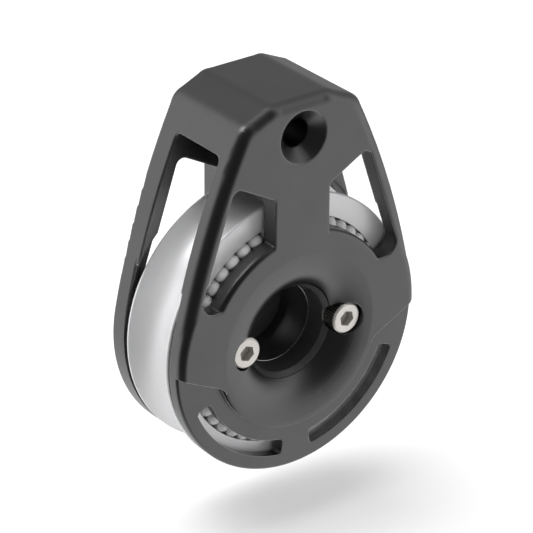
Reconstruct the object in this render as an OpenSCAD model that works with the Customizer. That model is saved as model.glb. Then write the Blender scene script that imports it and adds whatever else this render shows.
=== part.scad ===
// Cheek block for a rope, bolted flat against a deck or mast.
// Millimetres. X is to the right, Y runs from the front face back to the mounting face, Z is up.
// The origin is the middle of the sheave's axis on the mounting face, so the front lies at -body_t.
// Depths called v are counted backwards from the front face.

/* [Housing] */
// Thickness from the front face to the mounting face
body_t = 36; // [32:0.5:42]
// Radius of the round lower end
disc_r = 45; // [43:0.5:48]
// Radius of the long bowed sides
side_r = 265; // [200:5:400]
// Angle above level at which the round end runs into the sides
side_from = 11.5; // [8:0.5:16]
// Height of the flat top above the sheave's axis
head_z = 79.35; // [74:0.05:88]
// Width of the flat top
head_w = 21.4; // [16:0.2:26]
// Fall of the top's sloping shoulders in degrees
shoulder_fall = 23.7; // [15:0.1:35]
// Rounding of the corners where top, shoulders and sides meet
corner_r = 6; // [4.5:0.1:6]
// Rounding of those corners' front edge
corner_round = 3.3; // [2:0.1:4]
// Rounding of the front edge around the lower end
end_round = 2.5; // [1:0.1:3]
// Rounding of the front edge along the sides
side_round = 3.4; // [1.5:0.1:3.5]
// Rounding of the front edge along the shoulders
shoulder_round = 3.5; // [2:0.1:4]
// Rounding of the front edge along the flat top
head_round = 3.6; // [2:0.1:4]
// Rounding of the edge at the mounting face
back_round = 1; // [0.5:0.1:2]
// Rounding of the shoulders' edge at the mounting face
shoulder_back_round = 0.9; // [0.5:0.1:2]
// Rounding of those corners' edge at the mounting face
corner_back_round = 0.8; // [0.5:0.1:2]

/* [Throat] */
// Thickness of the front cheek beside the sheave pocket
front_cheek_t = 6.2; // [5.6:0.1:8]
// Thickness of the back cheek beside the sheave pocket
back_cheek_t = 7.8; // [7:0.1:9]
// Gap around the sheave in its round pockets
pocket_gap = 2.5; // [1:0.1:4]
// Depth of the pocket in the front cheek
front_pocket = 0.6; // [0.3:0.1:1]
// Depth of the pocket in the back cheek
back_pocket = 1.4; // [0.5:0.1:2]
// Height of the throat's roof above the sheave's axis
throat_z = 65.6; // [60:0.1:68]
// Rounding of the roof's corners
throat_round = 2.2; // [1:0.1:4]
// Width of the solid post between the cheeks
post_w = 19.2; // [17:0.2:20]

/* [Windows] */
// Distance of a window's upright edge from the middle
window_x = 10.15; // [9:0.05:12]
// Height of the top edge where it meets the upright edge
window_z = 49.4; // [46:0.1:52]
// Rise of the top edge in degrees
window_rise = 28.4; // [15:0.1:35]
// Distance of the outer edge from the middle, at the height of window_mid_z
window_mid_x = 30.7; // [28:0.1:32]
// Height at which window_mid_x is measured
window_mid_z = 41; // [38:0.5:44]
// Lean of the outer edge in degrees
window_lean = 18.7; // [16:0.1:22]
// Height of the window's lowest edge
window_low_z = 18.1; // [16:0.1:22]
// Radius of the arc below the window, about the sheave's axis
window_arc_r = 35.4; // [34:0.1:37]
// Rounding of that arc's front edge
window_arc_round = 1.4; // [0.5:0.1:2]
// Rounding of the corner beside the post
window_round_in = 2; // [1:0.1:3]
// Rounding of the top outer corner
window_round_top = 2.6; // [1:0.1:4]
// Rounding of the lower end
window_round_low = 4.5; // [2:0.1:5]

/* [Front face] */
// Radius of the raised middle
raised_r = 29.9; // [28.5:0.1:31]
// Drop from the raised face to the crescent below it
crescent_drop = 2.1; // [1:0.1:2.5]
// Where the straight step crosses, sideways from the middle
step_x = 31.4; // [30:0.1:34]
// Where the straight step crosses, below the sheave's axis
step_low = 7.2; // [5:0.1:10]
// Rise of the straight step in degrees
step_rise = 26.6; // [15:0.1:35]
// Radius of the blend between the round and the straight step
step_blend = 4.5; // [2:0.1:6]
// Rounding of the raised middle's edge
raised_round = 0.5; // [0.2:0.1:1]
// Rounding of the crescent's outer edge
crescent_round = 0.9; // [0.3:0.1:1.5]
// Inner radius of the arc slots
slot_in_r = 35.1; // [34.5:0.1:36]
// Outer radius of the arc slots
slot_out_r = 40.45; // [39:0.05:41.5]
// Start of a slot, in degrees from straight down
slot_from = 8; // [5:0.5:15]
// End of a slot, in degrees from straight down
slot_to = 68; // [55:0.5:70]
// Bevel of the slot's corners
slot_bevel = 0.8; // [0.4:0.1:1.5]

/* [Dished centre] */
// Outer radius of the dish
dish_r = 28; // [26:0.1:29]
// Radius of the dish's shallow outer curve
dish_curve_out = 30; // [20:1:40]
// Slope in degrees at which the dish starts
dish_a0 = 3; // [2:0.5:6]
// Slope in degrees where the two curves meet
dish_a1 = 13.9; // [8:0.1:20]
// Radius of the dish's steep inner curve
dish_curve_in = 11; // [10.5:0.1:13]
// Slope in degrees where the curve turns into a cone
dish_a2 = 50; // [44:0.5:55]
// Radius of the lip at the cone's foot
lip_r = 14.2; // [13.6:0.1:15]
// Radius of the hub's bore
bore_r = 13.2; // [12:0.1:13.5]
// Depth at which the lead into that bore ends
bore_v = 13.5; // [10:0.1:16]

/* [Bolts] */
// Height of the head bolt above the sheave's axis
head_bolt_z = 67.2; // [65:0.1:70]
// Radius of the straight bolt holes
bolt_r = 4.4; // [4.2:0.1:4.6]
// Radius of their countersunk mouths
bolt_mouth_r = 8.5; // [8:0.1:9]

/* [Sheave] */
// Radius of the sheave
sheave_r = 45; // [43:0.5:46]
// Width of the sheave
sheave_w = 21.2; // [20:0.1:21.6]
// Wall between the ball races and the floor of the rope groove
groove_wall = 1.52; // [1:0.02:4]
// Width of the flat rim on each side of the groove
rim_w = 1; // [0.6:0.1:1.4]
// Bevel of the rim's edges
rim_bevel = 0.35; // [0.2:0.05:0.45]
// Hollow of the sheave's side face at its foot
side_hollow = 0.3; // [0.1:0.05:0.5]

/* [Bearings] */
// Diameter of the side balls
ball_d = 4.762; // [4.7:0.001:4.8]
// Radius of the circle on which the side balls run
ball_pitch = 35.1; // [35:0.05:36]
// Gap of a running fit
run_gap = 0.03; // [0.02:0.01:0.05]
// Gap between neighbouring rolling pieces, half each
roll_gap = 0.01; // [0.005:0.001:0.02]
// Outer radius of the hub
hub_r = 25.8; // [25.5:0.1:26.5]
// Depth of the web in the hub's bore
web_v = 27.4; // [26.8:0.1:27.8]
// Diameter of the main rollers
roller_d = 5; // [4.5:0.1:5.2]
// Length of the main rollers
roller_l = 16; // [13:0.5:16]
// Outer radius of the sleeve pressed into the sheave
sleeve_r = 32.35; // [32.2:0.05:32.5]
// Gap of a press fit
press_gap = 0.01; // [0.005:0.005:0.02]
// Play between the rollers' ends and their retaining rings
ring_play = 0.2; // [0.1:0.05:0.3]
// Thickness of a retaining ring
ring_t = 1.6; // [1.2:0.1:2]

/* [Screws] */
// Distance of each screw from the middle
screw_x = 19.15; // [19:0.05:19.3]
// Radius of the screw's shank
screw_r = 3; // [3:0.5:3]
// Radius of the screw's head
screw_head_r = 5; // [4.8:0.1:5]
// Height of the screw's head
screw_head_h = 6; // [5.5:0.1:6]
// Depth of the head's seat in the hub
screw_seat_v = 7.7; // [7.2:0.1:8]
// Radius of the round recess around the head
screw_recess_r = 5.5; // [5.3:0.1:5.7]
// Width of the hexagon socket across its flats
socket_flats = 5; // [5:0.5:5]
// Depth of the hexagon socket
socket_h = 3; // [2.5:0.1:3.5]
// Distance of the shank's end from the mounting face
screw_end = 1.2; // [0.5:0.1:2]

/* [Hidden] */
over = 1;
fine = 180;
roller_steps = 48;
ball_steps = 32;
corner_steps = 8;
seam = 68;
side_step = 0.01;
blend_past = 0.3;
screw_free = 0.3;
head_bevel = 0.45;
socket_bevel = 0.3;
hex_sides = 6;
anodised = [0.36, 0.37, 0.38];
silver = [0.86, 0.86, 0.87];
steel = [0.70, 0.70, 0.71];
bright = [0.80, 0.77, 0.72];
polymer = [0.62, 0.63, 0.62];
dark = [0.12, 0.12, 0.13];
front_floor_v = front_cheek_t - front_pocket;
back_inner_v = body_t - back_cheek_t;
back_floor_v = back_inner_v + back_pocket;
pocket_r = sheave_r + pocket_gap;
mid_v = (front_floor_v + back_floor_v) / 2;
ball_r = ball_d / 2;
ball_n = floor(180 / asin((ball_r + roll_gap) / ball_pitch));
ball_in = ball_r + run_gap;
ball_front_v = front_floor_v + ball_in;
ball_back_v = back_floor_v - ball_in;
roller_pitch = hub_r + run_gap + roller_d / 2;
roller_n = floor(180 / asin((roller_d / 2 + roll_gap) / roller_pitch));
race_r = roller_pitch + roller_d / 2 + run_gap;
sleeve_l = sheave_w - 2 * side_hollow;
ring_v = roller_l / 2 + ring_play;
ring_r = race_r - screw_free;
countersink_h = bolt_mouth_r - bolt_r;
groove_reach = sheave_w / 2 - rim_w;
groove_depth = sheave_r - ball_pitch - ball_in - groove_wall;
groove_curve = (pow(groove_depth, 2) + pow(groove_reach, 2)) / (2 * groove_depth);
groove_centre = sheave_r - groove_depth + groove_curve;
side_c = [cos(side_from), sin(side_from)] * (disc_r + side_step - side_r);
shoulder_dir = [cos(shoulder_fall), -sin(shoulder_fall)];
shoulder_up = [sin(shoulder_fall), cos(shoulder_fall)];
low_corner = side_c + on_line(
  [head_w / 2, head_z] - corner_r * shoulder_up - side_c, shoulder_dir, side_r - corner_r);
top_corner = [head_w / 2 - corner_r * tan(shoulder_fall / 2), head_z - corner_r];
corners = [
  [low_corner, unit(low_corner - side_c), shoulder_up],
  [top_corner, shoulder_up, [0, 1]]
];
window_top_x = (window_mid_x + tan(window_lean) * (window_mid_z - window_z + window_x * tan(window_rise)))
  / (1 + tan(window_lean) * tan(window_rise));
window_corners = [
  [window_x, window_z],
  [window_top_x, window_z + (window_top_x - window_x) * tan(window_rise)],
  [window_mid_x + (window_mid_z - window_low_z) * tan(window_lean), window_low_z]
];
window_in_r = window_arc_r - 2 * window_arc_round;
window_inside = [
  [sqrt(pow(window_in_r, 2) - pow(window_low_z, 2)), window_low_z],
  [window_x, sqrt(pow(window_in_r, 2) - pow(window_x, 2))]
];
step_dir = [cos(step_rise), sin(step_rise)];
step_down = [sin(step_rise), -cos(step_rise)];
step_p = [step_x, -step_low];
step_far = step_p + 2 * disc_r * step_dir;
step_meet = on_line(step_p, step_dir, raised_r);
blend_c = on_line(step_p + step_blend * step_down, step_dir, raised_r + step_blend);
dish_c1 = [dish_r + dish_curve_out * sin(dish_a0), dish_curve_out * cos(dish_a0)];
dish_p1 = dish_c1 - dish_curve_out * [sin(dish_a1), cos(dish_a1)];
dish_c2 = dish_p1 + dish_curve_in * [sin(dish_a1), cos(dish_a1)];
dish_p2 = dish_c2 - dish_curve_in * [sin(dish_a2), cos(dish_a2)];
lip_v = dish_p2[1] + (dish_p2[0] - lip_r) * tan(dish_a2);

// Unit vector along a vector
function unit(a) = a / norm(a);

// Point on the line through p along the unit vector u that lies r from the sheave's axis
function on_line(p, u, r) = p + u * (sqrt(pow(p * u, 2) - p * p + r * r) - p * u);

// Points of an arc of radius r that rounds the corner b between a and c
function rounded(a, b, c, r) = let (
    u = unit(a - b), w = unit(c - b), half = acos(u * w) / 2,
    m = b + unit(u + w) * r / sin(half), t = b + u * r / tan(half) - m,
    from = atan2(t[1], t[0]), turn = sign(cross(b - a, c - b)) * (180 - 2 * half)
  ) [for (i = [0:corner_steps])
      m + r * [cos(from + turn * i / corner_steps), sin(from + turn * i / corner_steps)]];

// Solid of a flat outline in X and Z between two depths
module plate(v0, v1) {
  translate([0, v1 - body_t, 0]) rotate([90, 0, 0]) linear_extrude(v1 - v0) children();
}

// Solid turned about an axis along Y, from an outline in radius and depth
module turned(at = [0, 0], n = fine) {
  translate([at[0], -body_t, at[1]]) rotate([-90, 0, 0]) rotate([0, 0, seam]) rotate_extrude($fn = n) children();
}

// Round bar or hole along Y between two depths
module bar(r, v0, v1, at = [0, 0], n = fine) {
  translate([at[0], v0 - body_t, at[1]]) rotate([-90, 0, 0]) cylinder(r = r, h = v1 - v0, $fn = n);
}

// The same on both sides of the middle
module both_sides() {
  children();
  mirror([1, 0, 0]) children();
}

// Outline in reach and depth of the housing's edge, rounded at the front and the back
module edge_outline(reach, start, front, back) {
  difference() {
    translate([start, 0]) square([reach - start, body_t]);
    difference() {
      translate([reach - front, -over]) square([front + over, front + over]);
      translate([reach - front, front]) circle(r = front, $fn = fine);
    }
    difference() {
      translate([reach - back, body_t - back]) square(back + over);
      translate([reach - back, body_t - back]) circle(r = back, $fn = fine);
    }
  }
}

// Half space below a tilted top plane, with its edges rounded
module below(tilt, front, back) {
  translate([head_w / 2, -body_t, head_z]) rotate([0, tilt, 0]) rotate([90, 0, 90])
    linear_extrude(4 * disc_r, center = true) rotate([0, 0, 90]) mirror([0, 1])
      edge_outline(0, -4 * disc_r, front, back);
}

// One upper half of the housing's block, its two corners rounded
module upper_half() {
  difference() {
    intersection() {
      turned(side_c, 4 * fine) edge_outline(side_r, 0, side_round, back_round);
      plate(-over, body_t + over) polygon([
        [0, 0], 2 * disc_r * [cos(side_from), sin(side_from)], [2 * disc_r, 2 * disc_r], [-over, 2 * disc_r],
        [-over, 0]
      ]);
      below(0, head_round, back_round);
      below(shoulder_fall, shoulder_round, shoulder_back_round);
    }
    for (c = corners) plate(-over, body_t + over)
      polygon([c[0], c[0] + 2 * corner_r * c[1], c[0] + 2 * corner_r * c[2]]);
  }
  for (c = corners) turned(c[0]) edge_outline(corner_r + side_step, 0, corner_round, corner_back_round);
}

// Cut through a cheek for one window; the arc below it keeps its rounded front edge
module window_cut(v0, v1) {
  difference() {
    plate(v0, v1) polygon(concat(
      rounded(window_inside[1], window_corners[0], window_corners[1], window_round_in),
      rounded(window_corners[0], window_corners[1], window_corners[2], window_round_top),
      rounded(window_corners[1], window_corners[2], window_inside[0], window_round_low),
      window_inside
    ));
    turned() rounded_step(window_arc_r, window_arc_round, 0);
  }
}

// Outline in radius and depth of a round step that stays, with its front edge rounded
module rounded_step(r, edge, v) {
  translate([0, min(v, 0) - 2 * over]) square([r - edge, body_t + 4 * over]);
  translate([0, v + edge]) square([r, body_t + 2 * over - v - edge]);
  translate([r - edge, v + edge]) circle(r = edge, $fn = fine);
}

// Cut that drops the crescent below the raised middle
module crescent_cut() {
  difference() {
    plate(-over, crescent_drop + crescent_round) polygon([
      step_meet, step_far, [2 * disc_r, -2 * disc_r], [-2 * disc_r, -2 * disc_r],
      [-step_far[0], step_far[1]], [-step_meet[0], step_meet[1]]
    ]);
    turned() {
      rounded_step(raised_r, raised_round, 0);
      translate([0, crescent_drop]) square([disc_r - crescent_round, body_t]);
      translate([disc_r - crescent_round, crescent_drop + crescent_round])
        circle(r = crescent_round, $fn = fine);
    }
    both_sides() difference() {
      plate(-2 * over, body_t) polygon([
        blend_c - (step_blend + side_step) * step_down + blend_past * step_dir,
        step_meet + over * unit(step_meet - blend_c),
        unit(blend_c) * (raised_r - side_step) - blend_past * [-unit(blend_c)[1], unit(blend_c)[0]], blend_c
      ]);
      bar(step_blend, -3 * over, body_t + over, blend_c);
    }
  }
}

// Point at a radius and an angle
function polar(r, a) = r * [cos(a), sin(a)];

// Cut of the arc slot on the right, with bevelled corners
module slot_cut() {
  a0 = slot_from - 90;
  a1 = slot_to - 90;
  in_a = 2 * asin(slot_bevel / slot_in_r);
  out_a = 2 * asin(slot_bevel / slot_out_r);
  plate(-over, front_cheek_t + over) difference() {
    intersection() {
      circle(r = slot_out_r, $fn = fine);
      polygon([
        polar(slot_in_r - slot_bevel, a0 + in_a), polar(slot_in_r + slot_bevel, a0),
        polar(slot_out_r - slot_bevel, a0), polar(slot_out_r + slot_bevel, a0 + out_a),
        polar(2 * slot_out_r, (a0 + a1) / 2),
        polar(slot_out_r + slot_bevel, a1 - out_a), polar(slot_out_r - slot_bevel, a1),
        polar(slot_in_r + slot_bevel, a1), polar(slot_in_r - slot_bevel, a1 - in_a)
      ]);
    }
    circle(r = slot_in_r, $fn = fine);
  }
}

// Cut of the throat beside the post, for the rope and the sheave
module throat_cut() {
  top = throat_z - throat_round;
  translate([post_w / 2, -body_t, 0]) rotate([90, 0, 90]) linear_extrude(2 * disc_r) {
    translate([front_cheek_t, -2 * disc_r]) square([back_inner_v - front_cheek_t, top + 2 * disc_r]);
    translate([front_cheek_t + throat_round, top])
      square([back_inner_v - front_cheek_t - 2 * throat_round, throat_round]);
    for (v = [front_cheek_t + throat_round, back_inner_v - throat_round])
      translate([v, top]) circle(r = throat_round, $fn = fine);
  }
}

// Cut of the dish, the hub's bore and the countersunk hole behind it
module centre_cut() {
  turned() difference() {
    polygon([[0, -over], [dish_r, -over], [dish_r, 0], dish_p1, [0, dish_p1[1]]]);
    translate(dish_c1) circle(r = dish_curve_out, $fn = 4 * fine);
  }
  turned() difference() {
    polygon([[0, -over], [dish_p1[0], -over], dish_p1, dish_p2, [0, dish_p2[1]]]);
    translate(dish_c2) circle(r = dish_curve_in, $fn = 2 * fine);
  }
  turned() polygon([
    [0, -over], [dish_p2[0], -over], dish_p2, [lip_r, lip_v], [bore_r, bore_v], [bore_r, web_v],
    [bolt_mouth_r, web_v], [bolt_r, web_v + countersink_h], [bolt_r, body_t + over], [0, body_t + over]
  ]);
}

// Cut of the countersunk hole for the head bolt
module head_bolt_cut() {
  turned([0, head_bolt_z]) polygon([
    [0, -over], [bolt_mouth_r + over, -over], [bolt_r, countersink_h], [bolt_r, body_t + over], [0, body_t + over]
  ]);
}

// The block with its throat, windows, slots and crescent
module block() difference() {
  union() {
    turned() edge_outline(disc_r, 0, end_round, back_round);
    both_sides() upper_half();
  }
  bar(pocket_r, front_floor_v, back_floor_v);
  both_sides() {
    throat_cut();
    window_cut(-over, front_cheek_t + over);
    window_cut(back_inner_v - over, body_t + over);
    slot_cut();
  }
  crescent_cut();
}

// The one-piece housing: two cheeks, the head and the post between them, drilled and dished
module housing() color(anodised) difference() {
  difference() {
    block();
    both_sides() {
      bar(screw_recess_r, -over, front_cheek_t + over, [screw_x, 0]);
      bar(screw_r + press_gap, back_inner_v, body_t + over, [screw_x, 0]);
    }
  }
  centre_cut();
  head_bolt_cut();
}

// The bearing's inner race, held between the cheeks by the two screws
module hub() color(steel) difference() {
  difference() {
    bar(hub_r, front_floor_v, back_floor_v);
    both_sides() {
      bar(screw_recess_r, 0, screw_seat_v, [screw_x, 0]);
      bar(screw_r + screw_free, 0, body_t, [screw_x, 0]);
    }
  }
  centre_cut();
}

// Socket cap screw on the right
module cap_screw() {
  top = screw_seat_v - screw_head_h;
  corner = socket_flats / 2 / cos(180 / hex_sides);
  color(bright) difference() {
    turned([screw_x, 0]) polygon([
      [0, top], [screw_head_r - head_bevel, top], [screw_head_r, top + head_bevel], [screw_head_r, screw_seat_v],
      [screw_r, screw_seat_v], [screw_r, body_t - screw_end - head_bevel],
      [screw_r - head_bevel, body_t - screw_end], [0, body_t - screw_end]
    ]);
    bar(corner, top - over, top + socket_h, [screw_x, 0], hex_sides);
    turned([screw_x, 0]) polygon([
      [0, top - over], [corner + socket_bevel + over, top - over], [corner - socket_bevel, top + 2 * socket_bevel],
      [0, top + 2 * socket_bevel]
    ]);
  }
}

// A list of points and its mirror image about the sheave's middle plane
function both_flanks(p) = concat(p, [for (i = [len(p) - 1:-1:0]) [p[i][0], -p[i][1]]]);

// Grooved rope wheel with a ball race in each side
module sheave() color(silver) turned() translate([0, mid_v]) difference() {
  polygon(both_flanks([
    [sheave_r, groove_reach], [sheave_r, sheave_w / 2 - rim_bevel], [sheave_r - rim_bevel, sheave_w / 2],
    [ball_pitch + ball_in, sheave_w / 2 - side_hollow], [ball_pitch + ball_in, ball_back_v - mid_v],
    [sleeve_r + press_gap, ball_back_v - mid_v]
  ]));
  translate([groove_centre, 0]) circle(r = groove_curve, $fn = 2 * fine);
  for (v = [ball_front_v - mid_v, ball_back_v - mid_v])
    translate([ball_pitch, v]) circle(r = ball_in, $fn = fine);
}

// The bearing's outer race, pressed into the sheave
module bearing_sleeve() color(steel) turned() translate([race_r, mid_v - sleeve_l / 2])
  square([sleeve_r - race_r, sleeve_l]);

// One main roller
module roller(i) {
  color(polymer) rotate([0, i * 360 / roller_n, 0])
    bar(roller_d / 2, mid_v - roller_l / 2, mid_v + roller_l / 2, [roller_pitch, 0], roller_steps);
}

// Ring on the hub that keeps the rollers in place, in front of the depth v
module roller_ring(v) color(dark) turned() translate([hub_r + press_gap, v])
  square([ring_r - hub_r - press_gap, ring_t]);

// One full row of side balls at the depth v
module side_balls(v) color(polymer) for (i = [0:ball_n - 1])
  rotate([0, i * 360 / ball_n, 0]) translate([ball_pitch, v - body_t, 0]) sphere(r = ball_r, $fn = ball_steps);

housing();
hub();
mirror([1, 0, 0]) cap_screw();  // screw_left
cap_screw();  // screw_right
roller_ring(mid_v - ring_v - ring_t);  // roller_ring_front
roller_ring(mid_v + ring_v);  // roller_ring_back
sheave();
bearing_sleeve();
side_balls(ball_front_v);  // side_balls_front
side_balls(ball_back_v);  // side_balls_back
for (i = [1:roller_n]) roller(i);
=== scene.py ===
"""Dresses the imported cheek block: finishes, screw details, studio floor, lamps and camera."""
import logging
import math
from dataclasses import dataclass
from enum import Enum

import bpy
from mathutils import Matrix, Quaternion, Vector


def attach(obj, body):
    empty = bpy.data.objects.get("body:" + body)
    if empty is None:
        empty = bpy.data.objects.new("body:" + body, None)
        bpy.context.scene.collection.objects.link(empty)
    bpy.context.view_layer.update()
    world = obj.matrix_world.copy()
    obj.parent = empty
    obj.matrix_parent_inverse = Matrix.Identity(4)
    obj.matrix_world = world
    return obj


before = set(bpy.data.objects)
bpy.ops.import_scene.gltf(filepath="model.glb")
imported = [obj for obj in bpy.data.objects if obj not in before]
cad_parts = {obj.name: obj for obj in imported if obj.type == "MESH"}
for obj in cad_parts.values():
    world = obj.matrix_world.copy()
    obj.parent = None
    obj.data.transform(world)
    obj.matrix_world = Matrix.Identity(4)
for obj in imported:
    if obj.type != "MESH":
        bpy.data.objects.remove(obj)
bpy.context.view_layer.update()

log = logging.getLogger("cheek_block")

# A material's or the world's nodes, and what one of those nodes takes in or gives out
Tree = bpy.types.NodeTree
Plug = bpy.types.NodeSocket

Pair = tuple[float, float]
Triple = tuple[float, float, float]
Quad = tuple[float, float, float, float]

MM = 0.001
# The body's depth from its front face to the wall that it lies against
THICKNESS = 36 * MM
# Points closer than this become one
MERGE = 0.001 * MM
# Faces that meet at a smaller angle than this look smooth
SMOOTH_UNDER = math.radians(35)
# Least share of a normal along an axis for a face that looks that way
FACING = 0.5


def deselect_all() -> None:
    """Leaves object mode's selection empty."""
    for thing in list(bpy.context.selected_objects):
        thing.select_set(False)


def depth(v: float) -> float:
    """Turns a depth behind the front face into Y.

    Args:
        v: depth in millimetres.

    Returns:
        The Y coordinate in metres.
    """
    return v * MM - THICKNESS


def ranged(tree: Tree, value: Plug, source: Pair, target: Pair, smooth: bool = False) -> Plug:
    """Adds a node that maps one range of values to another, held at both ends.

    Args:
        tree: the nodes that it joins.
        value: the value to map.
        source: where the value runs from and to.
        target: what those two ends become.
        smooth: whether the ends ease in and out.

    Returns:
        The mapped value.
    """
    step = tree.nodes.new("ShaderNodeMapRange")
    if smooth:
        step.interpolation_type = "SMOOTHSTEP"
    for name, number in zip(("From Min", "From Max", "To Min", "To Max"), source + target):
        step.inputs[name].default_value = number
    tree.links.new(value, step.inputs["Value"])
    return step.outputs["Result"]


def reckoned(tree: Tree, operation: str, first: Plug, second: Plug | float | None = None) -> Plug:
    """Adds one step of arithmetic.

    Args:
        tree: the nodes that it joins.
        operation: the step's name.
        first: its first value.
        second: its second value, from a node or as a number.

    Returns:
        The result.
    """
    step = tree.nodes.new("ShaderNodeMath")
    step.operation = operation
    tree.links.new(first, step.inputs[0])
    if isinstance(second, float):
        step.inputs[1].default_value = second
    elif second is not None:
        tree.links.new(second, step.inputs[1])
    return step.outputs[0]


def measured(tree: Tree, operation: str, first: Plug, second: Plug | Triple | None = None) -> Plug:
    """Adds one step of vector arithmetic that gives a number.

    Args:
        tree: the nodes that it joins.
        operation: the step's name, such as a distance or a length.
        first: its first vector.
        second: its second vector, from a node or as three numbers.

    Returns:
        The number.
    """
    step = tree.nodes.new("ShaderNodeVectorMath")
    step.operation = operation
    tree.links.new(first, step.inputs[0])
    if isinstance(second, tuple):
        step.inputs[1].default_value = second
    elif second is not None:
        tree.links.new(second, step.inputs[1])
    return step.outputs["Value"]


def scaled(tree: Tree, colour: Plug, share: Plug) -> Plug:
    """Adds a node that makes a colour brighter or darker.

    Args:
        tree: the nodes that it joins.
        colour: the colour.
        share: what it is multiplied by.

    Returns:
        The new colour.
    """
    step = tree.nodes.new("ShaderNodeVectorMath")
    step.operation = "SCALE"
    tree.links.new(colour, step.inputs[0])
    tree.links.new(share, step.inputs["Scale"])
    return step.outputs["Vector"]


def place_parts(tree: Tree) -> tuple[Plug, Plug, Plug]:
    """Adds the nodes that give the surface point on the object's own coordinates.

    Args:
        tree: the nodes that they join.

    Returns:
        X, Y and Z in metres.
    """
    spot = tree.nodes.new("ShaderNodeTexCoord")
    parts = tree.nodes.new("ShaderNodeSeparateXYZ")
    tree.links.new(spot.outputs["Object"], parts.inputs[0])
    return parts.outputs["X"], parts.outputs["Y"], parts.outputs["Z"]


def joined(tree: Tree, axes: dict[str, Plug]) -> Plug:
    """Adds a node that joins numbers into one vector.

    Args:
        tree: the nodes that it joins.
        axes: the number on each named axis; an axis left out stays 0.

    Returns:
        The vector.
    """
    step = tree.nodes.new("ShaderNodeCombineXYZ")
    for axis, value in axes.items():
        tree.links.new(value, step.inputs[axis])
    return step.outputs[0]


class Pattern(Enum):
    """How a finish's fine marks run over the surface."""

    CLOUD = "even grain in all directions"
    TURNED = "fine circles about the sheave's axis"


@dataclass(frozen=True)
class Breaks:
    """How a finish softens sharp edges and paints a highlight on the narrow ones.

    Args:
        edge: softened radius in metres below the sheave's axis.
        upper_edge: the same above that axis, as the windows have it.
        rise: heights in metres between which it grows from one to the other.
        corner_edge: the same at the outline's corners.
        corners: those corners, as distance from the middle and height in metres.
        corner_reach: distances in metres over which the corners' radius fades.
        pale: how many times brighter the painted highlight makes narrow breaks of sharp edges.
        highlight_radius: radius in metres of those narrow breaks.
        highlight_samples: rays that find them.
        alike: agreement of two normals below which the painted highlight is full and above which there is
            none.
    """

    edge: float = 0.00035
    upper_edge: float = 0.0012
    rise: Pair = (0.004, 0.012)
    corner_edge: float = 0.0022
    corners: tuple[Pair, ...] = ((0.0104, 0.0778), (0.0202, 0.0733))
    corner_reach: Pair = (0.002, 0.006)
    pale: float = 4.0
    highlight_radius: float = 0.0003
    highlight_samples: int = 8
    alike: Pair = (0.80, 0.97)

    def radius(self, tree: Tree) -> Plug:
        """Adds the nodes for the softened radius over the whole piece.

        Args:
            tree: the material's nodes.

        Returns:
            The radius in metres.
        """
        x, _, z = place_parts(tree)
        widest = ranged(tree, z, self.rise, (self.edge, self.upper_edge))
        flat = joined(tree, {"X": reckoned(tree, "ABSOLUTE", x), "Z": z})
        for corner_x, corner_z in self.corners:
            gap = measured(tree, "DISTANCE", flat, (corner_x, 0.0, corner_z))
            near = ranged(tree, gap, self.corner_reach, (self.corner_edge, 0.0))
            widest = reckoned(tree, "MAXIMUM", widest, near)
        return widest

    def gain(self, tree: Tree) -> Plug:
        """Adds the nodes for the painted highlight on narrow breaks of sharp edges.

        Args:
            tree: the material's nodes.

        Returns:
            What the colour is multiplied by.
        """
        narrow = tree.nodes.new("ShaderNodeBevel")
        narrow.samples = self.highlight_samples
        narrow.inputs["Radius"].default_value = self.highlight_radius
        plain = tree.nodes.new("ShaderNodeNewGeometry")
        alike = measured(tree, "DOT_PRODUCT", narrow.outputs["Normal"], plain.outputs["Normal"])
        return ranged(tree, alike, self.alike, (self.pale, 1.0))


@dataclass(frozen=True)
class PaintedSocketShade:
    """Painted shade: where a screw finish is darker inside its sockets.

    Args:
        x: distance of the sockets from the middle in metres.
        reach: radius in metres within which a socket lies.
        face_y: Y from which a socket's inside is darker.
        share: share of the colour that is left inside.
    """

    x: float = 19.15 * MM
    reach: float = 3.1 * MM
    face_y: float = depth(1.9)
    share: float = 0.8

    def gain(self, tree: Tree) -> Plug:
        """Adds the nodes for the painted shade inside the sockets.

        Args:
            tree: the material's nodes.

        Returns:
            What the colour is multiplied by.
        """
        x, y, z = place_parts(tree)
        flat = joined(tree, {"X": reckoned(tree, "ABSOLUTE", x), "Z": z})
        gap = measured(tree, "DISTANCE", flat, (self.x, 0.0, 0.0))
        within = reckoned(tree, "LESS_THAN", gap, self.reach)
        deep = reckoned(tree, "GREATER_THAN", y, self.face_y)
        inside = reckoned(tree, "MULTIPLY", within, deep)
        return ranged(tree, inside, (0.0, 1.0), (1.0, self.share))


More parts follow.
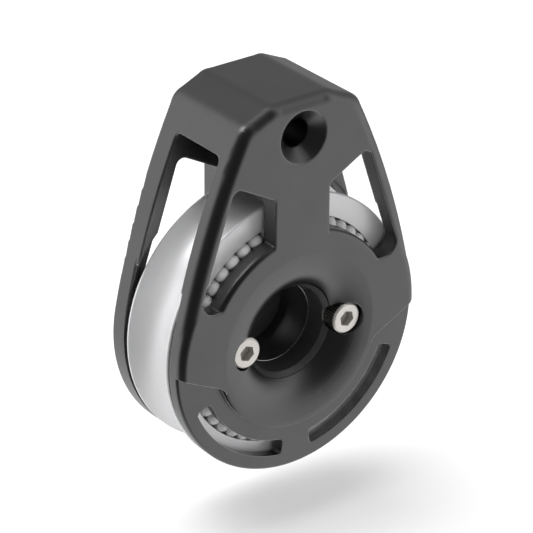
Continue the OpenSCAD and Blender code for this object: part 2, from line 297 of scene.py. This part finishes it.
@dataclass(frozen=True)
class Finish:
    """A surface finish made from procedural nodes.

    Args:
        name: material name.
        colour: linear base colour.
        metallic: 0 for plastic, 1 for bare metal.
        roughness: middle of the roughness range.
        spread: half width of the roughness range.
        tone: share by which the colour varies.
        grain: marks per metre of the fine pattern.
        relief: height of the fine pattern in metres.
        edge: radius in metres of the softened edges, or 0.
        breaks: edges that differ over the piece, in place of that radius, with a painted highlight on
            narrow breaks.
        sockets: painted shade inside the screw sockets, where the finish is darker.
        pattern: how the fine marks run.
        coarser: how many times coarser the colour's pattern is than the fine one.
        fine_detail: finer layers in the fine pattern.
        broad_detail: finer layers in the colour's pattern.
        used: span of a pattern's values that the finish uses.
        bump: strength of the fine pattern's relief.
        edge_samples: rays that soften an edge.
    """

    name: str
    colour: Triple
    metallic: float
    roughness: float
    spread: float = 0.04
    tone: float = 0.06
    grain: float = 2500.0
    relief: float = 0.00001
    edge: float = 0.0003
    breaks: Breaks | None = None
    sockets: PaintedSocketShade | None = None
    pattern: Pattern = Pattern.CLOUD
    coarser: float = 40.0
    fine_detail: float = 3.0
    broad_detail: float = 2.0
    used: Pair = (0.3, 0.7)
    bump: float = 0.5
    edge_samples: int = 10

    def build(self) -> bpy.types.Material:
        """Makes the material.

        Returns:
            The new material.
        """
        made = bpy.data.materials.new(self.name)
        made.use_nodes = True
        tree = made.node_tree
        shader = tree.nodes["Principled BSDF"]
        shader.inputs["Metallic"].default_value = self.metallic
        place = self._place(tree)
        fine = self._noise(tree, place, self.grain, self.fine_detail)
        broad = self._noise(tree, place, self.grain / self.coarser, self.broad_detail)
        colour = self._toned(tree, broad)
        # Painted highlight: narrow breaks of sharp edges are made paler.
        if self.breaks:
            colour = scaled(tree, colour, self.breaks.gain(tree))
        # Painted shade: the inside of the screw sockets is made darker.
        if self.sockets:
            colour = scaled(tree, colour, self.sockets.gain(tree))
        tree.links.new(colour, shader.inputs["Base Color"])
        rough = ranged(tree, fine, self.used, (self.roughness - self.spread, self.roughness + self.spread))
        tree.links.new(rough, shader.inputs["Roughness"])
        relief = tree.nodes.new("ShaderNodeBump")
        relief.inputs["Strength"].default_value = self.bump
        relief.inputs["Distance"].default_value = self.relief
        tree.links.new(fine, relief.inputs["Height"])
        if self.edge or self.breaks:
            tree.links.new(self._softened(tree), relief.inputs["Normal"])
        tree.links.new(relief.outputs["Normal"], shader.inputs["Normal"])
        return made

    def _toned(self, tree: Tree, broad: Plug) -> Plug:
        """Adds the base colour with its slow change over the surface.

        Args:
            tree: the material's nodes.
            broad: the coarse pattern.

        Returns:
            The colour.
        """
        ramp = tree.nodes.new("ShaderNodeValToRGB")
        for stop, at, gain in zip(ramp.color_ramp.elements, self.used, (1 - self.tone, 1 + self.tone)):
            stop.position = at
            stop.color = tuple(min(1.0, c * gain) for c in self.colour) + (1.0,)
        tree.links.new(broad, ramp.inputs["Fac"])
        return ramp.outputs["Color"]

    def _softened(self, tree: Tree) -> Plug:
        """Adds the softened edges.

        Args:
            tree: the material's nodes.

        Returns:
            The normal over softened edges.
        """
        soft = tree.nodes.new("ShaderNodeBevel")
        soft.samples = self.edge_samples
        soft.inputs["Radius"].default_value = self.edge
        if self.breaks:
            tree.links.new(self.breaks.radius(tree), soft.inputs["Radius"])
        return soft.outputs["Normal"]

    def _place(self, tree: Tree) -> Plug:
        """Gives the coordinates that the patterns read.

        Args:
            tree: the material's nodes.

        Returns:
            The point in metres, or its radius and depth for turned marks.
        """
        if self.pattern is Pattern.CLOUD:
            return tree.nodes.new("ShaderNodeTexCoord").outputs["Object"]
        x, y, z = place_parts(tree)
        reach = measured(tree, "LENGTH", joined(tree, {"X": x, "Y": z}))
        return joined(tree, {"X": reach, "Y": y})

    @staticmethod
    def _noise(tree: Tree, place: Plug, scale: float, detail: float) -> Plug:
        """Adds a noise pattern.

        Args:
            tree: the material's nodes.
            place: coordinates of the pattern.
            scale: marks per metre.
            detail: number of finer layers.

        Returns:
            The pattern's value.
        """
        noise = tree.nodes.new("ShaderNodeTexNoise")
        noise.inputs["Scale"].default_value = scale
        noise.inputs["Detail"].default_value = detail
        tree.links.new(place, noise.inputs["Vector"])
        return noise.outputs["Fac"]


ANODISED = Finish(
    "anodised_dark", (0.138, 0.138, 0.140), 1.0, 0.34, tone=0.03, grain=3500, relief=0.000006,
    # Painted highlight on the housing's sharp edges comes from Breaks.
    breaks=Breaks(),
)
POLISHED = Finish(
    "sheave_silver", (0.70, 0.70, 0.71), 0.40, 0.36, spread=0.03, tone=0.02, grain=2600, relief=0.000003,
    pattern=Pattern.TURNED,
)
BLACKENED = Finish(
    "hub_black", (0.060, 0.060, 0.062), 0.4, 0.30, spread=0.02, grain=1200, relief=0.000001, edge=0.0002,
)
GROUND = Finish(
    "ground_steel", (0.55, 0.55, 0.56), 1.0, 0.30, grain=2600, relief=0.000003, pattern=Pattern.TURNED,
)
STAINLESS = Finish(
    "screw_stainless", (0.70, 0.67, 0.63), 0.6, 0.30, tone=0.05, grain=4200, relief=0.000004, edge=0.00006,
    # Painted shade darkens the inside of the sockets.
    sockets=PaintedSocketShade(),
)
# Painted shade and painted dark reflection: a dark copy of the screw steel for the knurled head sides.
KNURL_PAINTED_SHADE = Finish("knurl_painted_shade", (0.11, 0.105, 0.10), 0.9, 0.40, grain=4200, relief=0.000004, edge=0.0)
BEAD = Finish("bead_dark", (0.45, 0.45, 0.45), 1.0, 0.25, edge=0.0)
POLYMER = Finish(
    "ball_polymer", (0.70, 0.70, 0.70), 0.0, 0.50, tone=0.14, grain=5200, relief=0.00002, edge=0.0,
)
RING = Finish("ring_polymer", (0.02, 0.02, 0.022), 0.0, 0.45)


def dress(node: str, finish: bpy.types.Material) -> None:
    """Gives a CAD node its finish.

    Args:
        node: the node's name.
        finish: the material.
    """
    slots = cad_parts[node].material_slots
    if not slots:
        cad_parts[node].data.materials.append(finish)
    for slot in slots:
        slot.material = finish
    log.info("dressed %s with %s", node, finish.name)


def settle(piece: bpy.types.Object, name: str, body: str, finish: bpy.types.Material) -> None:
    """Names a new piece, applies its place, smooths it, and rides it on its body.

    Args:
        piece: the finished object.
        name: the piece's name.
        body: the body that it rides on.
        finish: the material.
    """
    deselect_all()
    piece.select_set(True)
    bpy.context.view_layer.objects.active = piece
    bpy.ops.object.transform_apply(location=True, rotation=True, scale=True)
    bpy.ops.object.shade_smooth_by_angle(angle=SMOOTH_UNDER)
    piece.name = name
    piece.data.name = name
    piece.data.materials.clear()
    piece.data.materials.append(finish)
    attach(piece, body)
    log.info("built %s on %s, %d faces", name, body, len(piece.data.polygons))


def swept(piece: bpy.types.Object, steps: int, pitch: float = 0.0) -> None:
    """Turns a small section once about Y, and leaves its clean mesh selected in edit mode.

    Args:
        piece: the section, away from the axis.
        steps: segments in the turn.
        pitch: how far the turn climbs along Y in metres, 0 for a closed ring.
    """
    sweep = piece.modifiers.new("sweep", "SCREW")
    sweep.axis = "Y"
    sweep.screw_offset = pitch
    sweep.steps = sweep.render_steps = steps
    sweep.use_merge_vertices = pitch == 0.0
    bpy.ops.object.modifier_apply(modifier=sweep.name)
    bpy.ops.object.mode_set(mode="EDIT")
    bpy.ops.mesh.select_all(action="SELECT")
    bpy.ops.mesh.remove_doubles(threshold=MERGE)
    bpy.ops.mesh.normals_make_consistent(inside=False)


@dataclass
class Housing:
    """The one-piece housing with its two cheeks and head."""

    finish: Finish = ANODISED

    def build(self) -> None:
        """Dresses the housing."""
        dress("housing", self.finish.build())


@dataclass
class Wheel:
    """The sheave with its pressed sleeve."""

    face: Finish = POLISHED
    race: Finish = GROUND

    def build(self) -> None:
        """Dresses the sheave and the sleeve."""
        dress("sheave", self.face.build())
        dress("bearing_sleeve", self.race.build())


@dataclass
class Bearings:
    """The hub, the rollers with their rings, and the side balls."""

    seam_r: float = 13.2 * MM
    seam_v: float = 13.5
    seam_rise: float = 0.14 * MM
    seam_sides: int = 6
    seam_steps: int = 160
    hub: Finish = BLACKENED
    rolling: Finish = POLYMER
    ring: Finish = RING
    bead: Finish = BEAD

    def build(self) -> None:
        """Dresses every rolling piece and what holds it, and adds the bead in the hub's bore."""
        dress("hub", self.hub.build())
        self._bead()
        polymer = self.rolling.build()
        ring = self.ring.build()
        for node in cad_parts:
            if node.startswith("roller_ring"):
                dress(node, ring)
            elif node.startswith(("roller_", "side_balls")):
                dress(node, polymer)

    def _bead(self) -> None:
        """Models the thin bead where the dish's lead ends in the hub's bore."""
        deselect_all()
        bpy.ops.mesh.primitive_circle_add(vertices=self.seam_sides, radius=self.seam_rise)
        piece = bpy.context.active_object
        bpy.ops.object.mode_set(mode="EDIT")
        bpy.ops.mesh.select_all(action="SELECT")
        bpy.ops.transform.translate(value=(self.seam_r, 0, 0))
        bpy.ops.object.mode_set(mode="OBJECT")
        swept(piece, self.seam_steps)
        bpy.ops.transform.translate(value=(0, depth(self.seam_v), 0))
        bpy.ops.object.mode_set(mode="OBJECT")
        settle(piece, "bore_bead", "frame", self.bead.build())


@dataclass
class CapScrews:
    """Knurls and crisp sockets of the two cap screws, and their tapped holes."""

    offset: float = 19.15 * MM
    head_r: float = 4.96 * MM
    knurl_top: float = 2.5
    knurl_end: float = 7.2
    knurl_land: float = 0.12 * MM
    knurl_depth: float = 0.13 * MM
    ridges: int = 36
    hex_sides: int = 6
    socket_r: float = 2.72 * MM
    socket_land: float = 1.43
    socket_turn: float = 10.0
    socket_top: float = 1.68
    socket_end: float = 4.3
    thread_r: float = 2.95 * MM
    thread_rise: float = 0.25 * MM
    thread_pitch: float = 0.9 * MM
    thread_v: float = 34.85
    thread_steps: int = 48
    thread_sides: int = 3
    finish: Finish = STAINLESS
    side: Finish = KNURL_PAINTED_SHADE
    hole: Finish = ANODISED

    def build(self) -> None:
        """Dresses both screws and adds their knurls, sockets and threads."""
        steel = self.finish.build()
        # The knurls get the dark copy of the steel, as painted shade.
        dark = self.side.build()
        tapped = bpy.data.materials.get(self.hole.name) or self.hole.build()
        for side, x in (("left", -self.offset), ("right", self.offset)):
            dress(f"screw_{side}", steel)
            self._knurl(x, f"screw_knurl_{side}", dark)
            self._socket(x, f"screw_socket_{side}", steel)
            self._thread(x, f"tapped_hole_{side}", tapped)

    @staticmethod
    def _barrel(
        x: float, radius: float, sides: int, top_v: float, end_v: float, ends: str
    ) -> bpy.types.Object:
        """Starts a piece as a straight barrel along a screw's axis.

        Args:
            x: the screw's place.
            radius: the barrel's radius.
            sides: its flats.
            top_v: depth of its front end in millimetres.
            end_v: depth of its back end in millimetres.
            ends: how its ends are closed.

        Returns:
            The barrel.
        """
        deselect_all()
        top, end = depth(top_v), depth(end_v)
        bpy.ops.mesh.primitive_cylinder_add(
            vertices=sides, radius=radius, depth=end - top, end_fill_type=ends,
            location=(x, (top + end) / 2, 0), rotation=(math.pi / 2, 0, 0),
        )
        return bpy.context.active_object

    def _knurl(self, x: float, name: str, finish: bpy.types.Material) -> None:
        """Models the straight knurl around one head.

        Args:
            x: the screw's place.
            name: the piece's name.
            finish: the head side's finish, a darker copy of the screw steel as painted shade and painted
                dark reflection.
        """
        piece = self._barrel(x, self.head_r, self.ridges, self.knurl_top, self.knurl_end, "NOTHING")
        bpy.ops.object.mode_set(mode="EDIT")
        bpy.ops.mesh.select_mode(type="FACE")
        bpy.ops.mesh.select_all(action="SELECT")
        bpy.ops.mesh.inset(thickness=self.knurl_land, depth=self.knurl_depth, use_individual=True)
        bpy.ops.object.mode_set(mode="OBJECT")
        settle(piece, name, "frame", finish)

    def _socket(self, x: float, name: str, steel: bpy.types.Material) -> None:
        """Models the crisp hexagon of one socket, with the flat land around it.

        Args:
            x: the screw's place.
            name: the piece's name.
            steel: the finish.
        """
        piece = self._barrel(x, self.socket_r, self.hex_sides, self.socket_top, self.socket_end, "NGON")
        middle = (x, depth(self.socket_top), 0)
        for face in piece.data.polygons:
            face.select = face.normal.z > FACING
        bpy.ops.object.mode_set(mode="EDIT")
        bpy.ops.mesh.select_mode(type="FACE")
        bpy.ops.mesh.delete(type="ONLY_FACE")
        bpy.ops.mesh.select_mode(type="EDGE")
        bpy.ops.mesh.select_all(action="DESELECT")
        bpy.ops.mesh.select_non_manifold()
        bpy.ops.mesh.extrude_edges_move()
        bpy.ops.transform.resize(value=(self.socket_land, 1, self.socket_land), center_override=middle)
        bpy.ops.mesh.select_all(action="SELECT")
        turn = math.radians(self.socket_turn)
        bpy.ops.transform.rotate(value=turn, orient_axis="Y", center_override=middle)
        bpy.ops.mesh.flip_normals()
        bpy.ops.object.mode_set(mode="OBJECT")
        settle(piece, name, "frame", steel)

    def _thread(self, x: float, name: str, finish: bpy.types.Material) -> None:
        """Models the turn of thread that shows in the tapped hole behind one screw.

        Args:
            x: the screw's place.
            name: the piece's name.
            finish: the housing's finish.
        """
        deselect_all()
        bpy.ops.mesh.primitive_circle_add(vertices=self.thread_sides, radius=self.thread_rise)
        piece = bpy.context.active_object
        bpy.ops.object.mode_set(mode="EDIT")
        bpy.ops.mesh.select_all(action="SELECT")
        bpy.ops.transform.rotate(value=math.pi / 2, orient_axis="Z", center_override=(0, 0, 0))
        bpy.ops.transform.translate(value=(self.thread_r, 0, 0))
        bpy.ops.object.mode_set(mode="OBJECT")
        swept(piece, self.thread_steps, self.thread_pitch)
        bpy.ops.transform.translate(value=(x, depth(self.thread_v), 0))
        bpy.ops.object.mode_set(mode="OBJECT")
        settle(piece, name, "frame", finish)


@dataclass(frozen=True)
class Lamp:
    """A soft square lamp aimed at the block.

    Args:
        name: the lamp's name.
        at: its place in metres.
        size: its side in metres.
        power: its power in watts.
        mirrored: whether glossy surfaces show it.
    """

    name: str
    at: Triple
    size: float
    power: float
    mirrored: bool = True

    def build(self, aim: Vector) -> None:
        """Adds the lamp.

        Args:
            aim: the point that it faces.
        """
        data = bpy.data.lights.new(self.name, "AREA")
        data.shape = "RECTANGLE"
        data.size, data.size_y, data.energy = self.size, self.size, self.power
        lamp = bpy.data.objects.new(self.name, data)
        bpy.context.scene.collection.objects.link(lamp)
        lamp.location = self.at
        lamp.visible_glossy = self.mirrored
        lamp.rotation_euler = (aim - Vector(self.at)).to_track_quat("-Z", "Y").to_euler()
        log.info("lit %s", self.name)


@dataclass
class Studio:
    """Floor, lamps, surroundings and camera."""

    floor_z: float = -0.068
    floor_size: float = 5.0
    floor_colour: Quad = (0.86, 0.86, 0.86, 1.0)
    floor_rough: float = 0.9
    floor_specular: float = 0.1
    floor_glow: float = 0.3
    azimuth: float = -37.203
    elevation: float = 27.145
    roll: float = 0.4815
    distance: float = 0.94068
    lens: float = 201.9
    sensor: float = 36.0
    clip: Pair = (0.05, 20.0)
    aim: Triple = (0.013946, 0.0, 0.005368)
    bright: float = 1.05
    dim: float = 0.07
    dim_side: Triple = (-0.594, -0.778, 0.205)
    dim_span: Pair = (0.05, 0.65)
    far_share: float = 0.40
    far_side: Triple = (0.66, 0.60, 0.45)
    far_span: Pair = (0.2, 0.8)
    white: Quad = (1.0, 1.0, 1.0, 1.0)
    lit_point: Triple = (0.0, -0.018, 0.015)
    lamps: tuple[Lamp, ...] = (
        Lamp("lamp_top", (-0.25, 0.15, 1.2), 1.0, 20.0, mirrored=False),
        Lamp("lamp_edge", (-0.55, 0.25, 1.0), 0.5, 3.0),
        Lamp("lamp_front", (0.25, -1.1, 0.35), 0.8, 4.0, mirrored=False),
    )

    def build(self) -> None:
        """Builds the whole studio."""
        self._world()
        self._floor()
        for lamp in self.lamps:
            lamp.build(Vector(self.lit_point))
        self._camera()

    def _world(self) -> None:
        """Makes the surroundings: white to the camera, and a pale room with one dim side as a light."""
        world = bpy.data.worlds.new("studio")
        bpy.context.scene.world = world
        world.use_nodes = True
        tree = world.node_tree
        tree.nodes.clear()
        out = tree.nodes.new("ShaderNodeOutputWorld")
        seen = tree.nodes.new("ShaderNodeBackground")
        seen.inputs["Color"].default_value = self.white
        light = tree.nodes.new("ShaderNodeBackground")
        light.inputs["Color"].default_value = self.white
        way = tree.nodes.new("ShaderNodeTexCoord").outputs["Generated"]
        near = measured(tree, "DOT_PRODUCT", way, self.dim_side)
        near = ranged(tree, near, self.dim_span, (self.bright, self.dim), smooth=True)
        far = measured(tree, "DOT_PRODUCT", way, self.far_side)
        far = ranged(tree, far, self.far_span, (1.0, self.far_share), smooth=True)
        tree.links.new(reckoned(tree, "MULTIPLY", near, far), light.inputs["Strength"])
        path = tree.nodes.new("ShaderNodeLightPath")
        mix = tree.nodes.new("ShaderNodeMixShader")
        tree.links.new(path.outputs["Is Camera Ray"], mix.inputs["Fac"])
        tree.links.new(light.outputs[0], mix.inputs[1])
        tree.links.new(seen.outputs[0], mix.inputs[2])
        tree.links.new(mix.outputs[0], out.inputs["Surface"])

    def _floor(self) -> None:
        """Lays the pale floor that keeps the block's soft shadow."""
        deselect_all()
        bpy.ops.mesh.primitive_plane_add(size=self.floor_size, location=(0, 0, self.floor_z))
        floor = bpy.context.active_object
        floor.name = "floor"
        made = bpy.data.materials.new("floor_pale")
        made.use_nodes = True
        tree = made.node_tree
        plain = tree.nodes["Principled BSDF"]
        plain.inputs["Base Color"].default_value = self.floor_colour
        plain.inputs["Roughness"].default_value = self.floor_rough
        plain.inputs["Specular IOR Level"].default_value = self.floor_specular
        glow = tree.nodes.new("ShaderNodeEmission")
        glow.inputs["Color"].default_value = self.white
        path = tree.nodes.new("ShaderNodeLightPath")
        mix = tree.nodes.new("ShaderNodeMixShader")
        share = reckoned(tree, "MULTIPLY", path.outputs["Is Camera Ray"], self.floor_glow)
        tree.links.new(share, mix.inputs["Fac"])
        tree.links.new(plain.outputs[0], mix.inputs[1])
        tree.links.new(glow.outputs[0], mix.inputs[2])
        tree.links.new(mix.outputs[0], tree.nodes["Material Output"].inputs["Surface"])
        floor.data.materials.append(made)
        floor.visible_glossy = False

    def _camera(self) -> None:
        """Sets the camera at the photograph's place."""
        data = bpy.data.cameras.new("camera")
        camera = bpy.data.objects.new("camera", data)
        bpy.context.scene.collection.objects.link(camera)
        data.lens = self.lens
        data.sensor_width = self.sensor
        data.clip_start, data.clip_end = self.clip
        a, e = math.radians(self.azimuth), math.radians(self.elevation)
        back = Vector((math.sin(a) * math.cos(e), -math.cos(a) * math.cos(e), math.sin(e)))
        camera.rotation_mode = "QUATERNION"
        camera.location = Vector(self.aim) + back * self.distance
        turn = Quaternion((0.0, 0.0, 1.0), math.radians(self.roll))
        camera.rotation_quaternion = (-back).to_track_quat("-Z", "Y") @ turn
        bpy.context.scene.camera = camera


def main() -> None:
    """Builds the block's sub-assemblies and the studio in order."""
    logging.basicConfig(level=logging.INFO, format="%(message)s")
    bpy.context.scene.view_settings.view_transform = "Standard"
    Housing().build()
    Wheel().build()
    Bearings().build()
    CapScrews().build()
    Studio().build()


if __name__ == "__main__":
    main()
